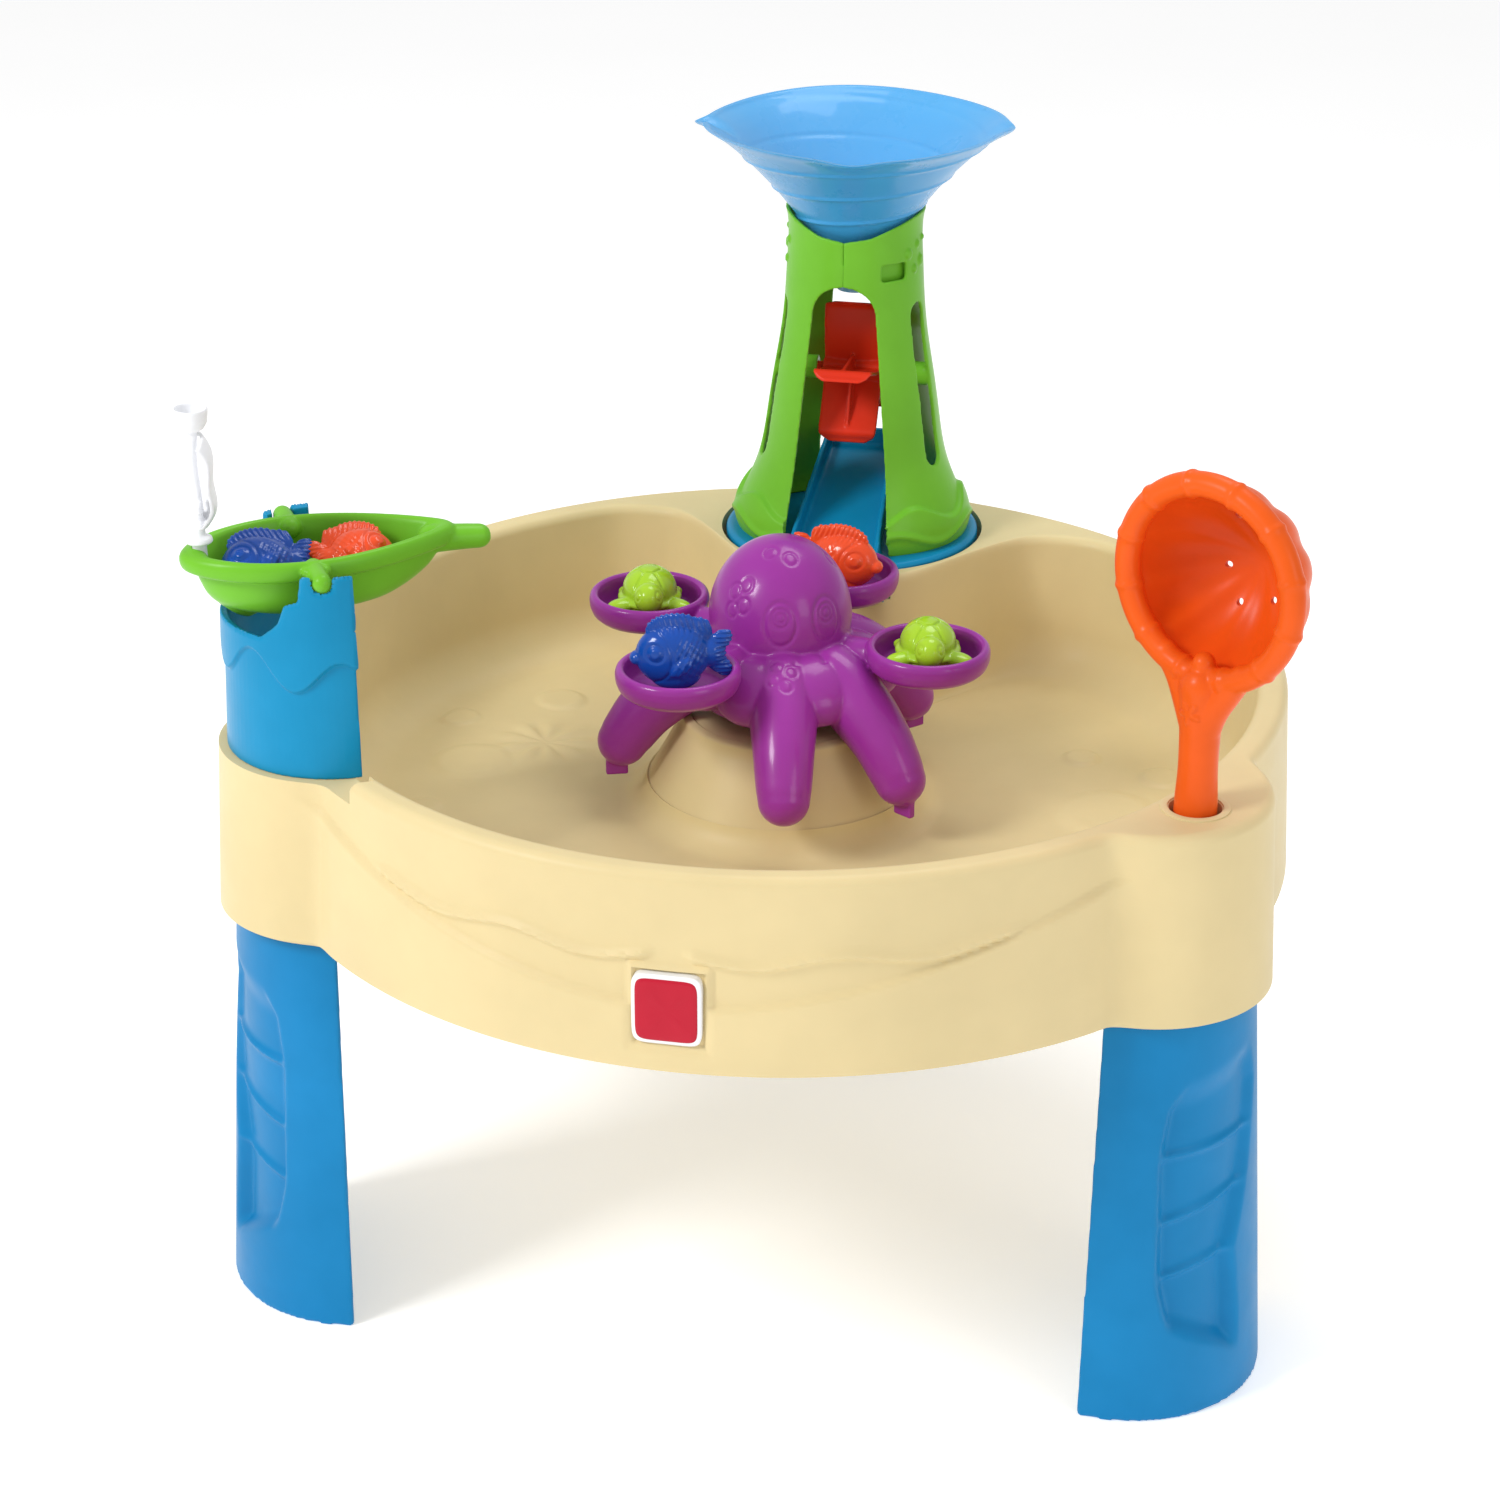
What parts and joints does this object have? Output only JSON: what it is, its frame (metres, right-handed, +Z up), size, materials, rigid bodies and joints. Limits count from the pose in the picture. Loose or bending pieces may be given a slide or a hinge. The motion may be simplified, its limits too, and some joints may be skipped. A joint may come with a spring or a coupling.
{
  "type": "sand and water table",
  "caption": "Round play table on shell legs, with a bowl, a water wheel tower with a funnel, an octopus spinner with trays, a tipping boat, a scoop and squirt toys.",
  "frame": {"origin": "on the floor, under the middle of the footprint; the bowl's axis is 30 mm in front of it", "axes": "+Z up, +Y towards the tower and the back leg, -Y towards the badge on the front"},
  "size_m": [0.8418, 0.877, 0.845],
  "materials": {
    "basin_beige": "satin moulded",
    "leg_blue": "satin moulded",
    "tower_blue": "semi gloss",
    "green": "semi gloss",
    "purple": "semi gloss",
    "wheel_red": "semi gloss",
    "scoop_orange": "semi gloss",
    "funnel_clear_blue": "translucent",
    "white": "semi gloss",
    "toy_blue": "soft vinyl",
    "toy_orange": "soft vinyl",
    "toy_green": "soft vinyl",
    "badge_red": "glossy",
    "steel": "zinc plated",
    "bush_white": "satin"
  },
  "bodies": {
    "table": {"basin": "basin_beige", "badge": "badge_red", "leg_front_left": "leg_blue", "leg_front_right": "leg_blue", "leg_back": "leg_blue", "leg_screws": "steel", "tower_base": "tower_blue", "tower_base_screws": "steel", "tower_foot_screws": "steel", "tower_left": "green", "tower_right": "green", "tower_seam_screws": "steel", "spinner_spindle": "bush_white", "spindle_screw": "steel", "boat_tower": "tower_blue", "boat_tower_screws": "steel"},
    "wheel": {"water_wheel": "wheel_red"},
    "funnel": {"funnel": "funnel_clear_blue"},
    "octopus": {"octopus_body": "purple", "octopus_bush": "bush_white"},
    "boat": {"boat_hull": "green", "mast": "white"},
    "scoop": {"scoop": "scoop_orange"},
    "drain_plug": {"drain_plug": "leg_blue"},
    "fish_blue_tray": {"fish_blue_tray": "toy_blue"},
    "fish_orange_tray": {"fish_orange_tray": "toy_orange"},
    "turtle_left": {"turtle_left": "toy_green"},
    "turtle_right": {"turtle_right": "toy_green"},
    "fish_blue_boat": {"fish_blue_boat": "toy_blue"},
    "fish_orange_boat": {"fish_orange_boat": "toy_orange"}
  },
  "joints": [
    {"name": "octopus_spin", "type": "hinge", "parent": "table", "child": "octopus", "pos_m": [0, -0.03, 0.477], "axis": [0, 0, 1], "continuous": true},
    {"name": "wheel_spin", "type": "hinge", "parent": "table", "child": "wheel", "pos_m": [0, 0.276, 0.63], "axis": [1, 0, 0], "continuous": true},
    {"name": "boat_tilt", "type": "hinge", "parent": "table", "child": "boat", "pos_m": [-0.32996, -0.2205, 0.625], "axis": [-0.5, 0.866, 0], "range_deg": [0, 42]},
    {"name": "funnel_lift", "type": "slide", "parent": "table", "child": "funnel", "axis": [0, 0, 1], "range_m": [0, 0.16]},
    {"name": "scoop_lift", "type": "slide", "parent": "table", "child": "scoop", "axis": [0, 0, 1], "range_m": [0, 0.12]},
    {"name": "drain_plug_lift", "type": "slide", "parent": "table", "child": "drain_plug", "axis": [0, 0, 1], "range_m": [0, 0.03]},
    {"name": "fish_blue_tray_lift", "type": "slide", "parent": "octopus", "child": "fish_blue_tray", "axis": [0, 0, 1], "range_m": [0, 0.08]},
    {"name": "fish_orange_tray_lift", "type": "slide", "parent": "octopus", "child": "fish_orange_tray", "axis": [0, 0, 1], "range_m": [0, 0.08]},
    {"name": "turtle_left_lift", "type": "slide", "parent": "octopus", "child": "turtle_left", "axis": [0, 0, 1], "range_m": [0, 0.08]},
    {"name": "turtle_right_lift", "type": "slide", "parent": "octopus", "child": "turtle_right", "axis": [0, 0, 1], "range_m": [0, 0.08]},
    {"name": "fish_blue_boat_lift", "type": "slide", "parent": "boat", "child": "fish_blue_boat", "axis": [0, 0, 1], "range_m": [0, 0.08]},
    {"name": "fish_orange_boat_lift", "type": "slide", "parent": "boat", "child": "fish_orange_boat", "axis": [0, 0, 1], "range_m": [0, 0.08]}
  ]
}
